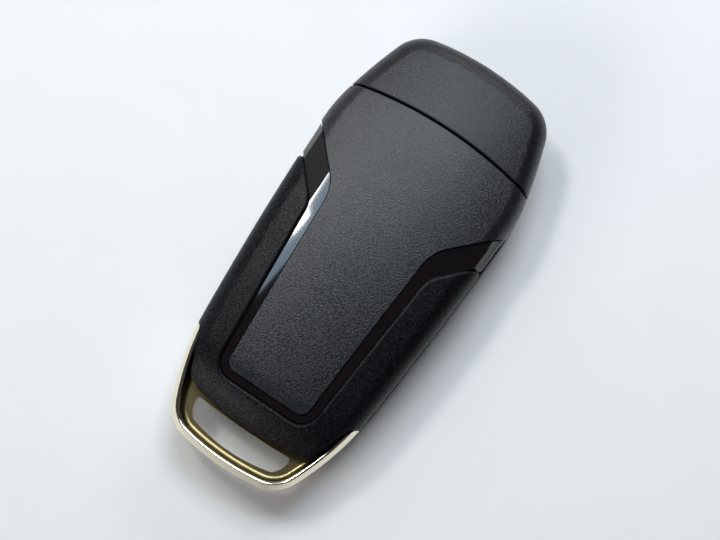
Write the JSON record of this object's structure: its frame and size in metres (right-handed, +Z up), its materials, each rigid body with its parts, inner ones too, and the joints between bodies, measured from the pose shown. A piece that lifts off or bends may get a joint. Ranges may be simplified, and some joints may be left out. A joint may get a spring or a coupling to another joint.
{
  "type": "flip remote key",
  "caption": "Folding remote key with a grained case, gloss trim, plated key-ring loop and a blade that swings out of the side.",
  "frame": {"origin": "middle of the key's box on the table that it lies on, button face down", "axes": "+Z up, the way the back faces; +Y towards the head with the pivot; +X towards the side that the blade folds into"},
  "size_m": [0.0366, 0.0792, 0.016],
  "materials": {
    "case_plastic": "fine leather-like grain, satin",
    "panel_plastic": "fine even grain, satin",
    "gloss_black": "polished",
    "champagne_plate": "bright warm plating, satin on the floor",
    "bright_plate": "bright plating",
    "tray_plastic": "plain moulded",
    "board_laminate": "solder mask",
    "chip_epoxy": "moulded epoxy",
    "crystal_can": "drawn can",
    "passive_ceramic": "fired ceramic",
    "coil_ferrite": "ferrite with fine wire",
    "transponder_body": "potted block",
    "switch_metal": "stamped cover",
    "cell_steel": "rolled steel",
    "contact_nickel": "nickel-plated spring sheet",
    "mat_rubber": "moulded silicone",
    "button_rubber": "soft satin",
    "spring_steel": "drawn wire",
    "blade_steel": "milled nickel-plated steel",
    "carrier_metal": "die-cast, plated",
    "screw_steel": "dark plated"
  },
  "bodies": {
    "case": {"rear_shell": "case_plastic", "rear_panel": "panel_plastic", "gloss_trim": "gloss_black", "head_cap": "panel_plastic", "front_shell": "case_plastic", "button_bezel": "gloss_black", "release_ring": "bright_plate", "keyring_frame": "champagne_plate", "inner_tray": "tray_plastic", "circuit_board": "board_laminate", "microcontroller": "chip_epoxy", "crystal": "crystal_can", "board_components": "passive_ceramic", "antenna_coil": "coil_ferrite", "transponder_chip": "transponder_body", "tact_switches": "switch_metal", "coin_cell": "cell_steel", "battery_contact_positive": "contact_nickel", "battery_contact_negative": "contact_nickel", "button_mat": "mat_rubber", "flip_spring": "spring_steel", "case_screws": "screw_steel"},
    "blade": {"key_blade": "blade_steel", "blade_carrier": "carrier_metal", "blade_pin": "screw_steel"},
    "release": {"release_button": "bright_plate"},
    "lock": {"lock_button": "button_rubber"},
    "unlock": {"unlock_button": "button_rubber"},
    "boot": {"boot_button": "button_rubber"}
  },
  "joints": [
    {"name": "blade_flip", "type": "hinge", "parent": "case", "child": "blade", "pos_m": [0.00555, 0.0297, 0.007], "axis": [0, 0, 1], "range_deg": [0, 180]},
    {"name": "release_press", "type": "slide", "parent": "case", "child": "release", "axis": [0, 0, 1], "range_m": [0, 0.0014], "stiffness_N_per_m": 600, "deforming": ["flip_spring"]},
    {"name": "lock_press", "type": "slide", "parent": "case", "child": "lock", "axis": [0, 0, 1], "range_m": [0, 0.00045], "stiffness_N_per_m": 900},
    {"name": "unlock_press", "type": "slide", "parent": "case", "child": "unlock", "axis": [0, 0, 1], "range_m": [0, 0.00045], "stiffness_N_per_m": 900},
    {"name": "boot_press", "type": "slide", "parent": "case", "child": "boot", "axis": [0, 0, 1], "range_m": [0, 0.00045], "stiffness_N_per_m": 900}
  ]
}
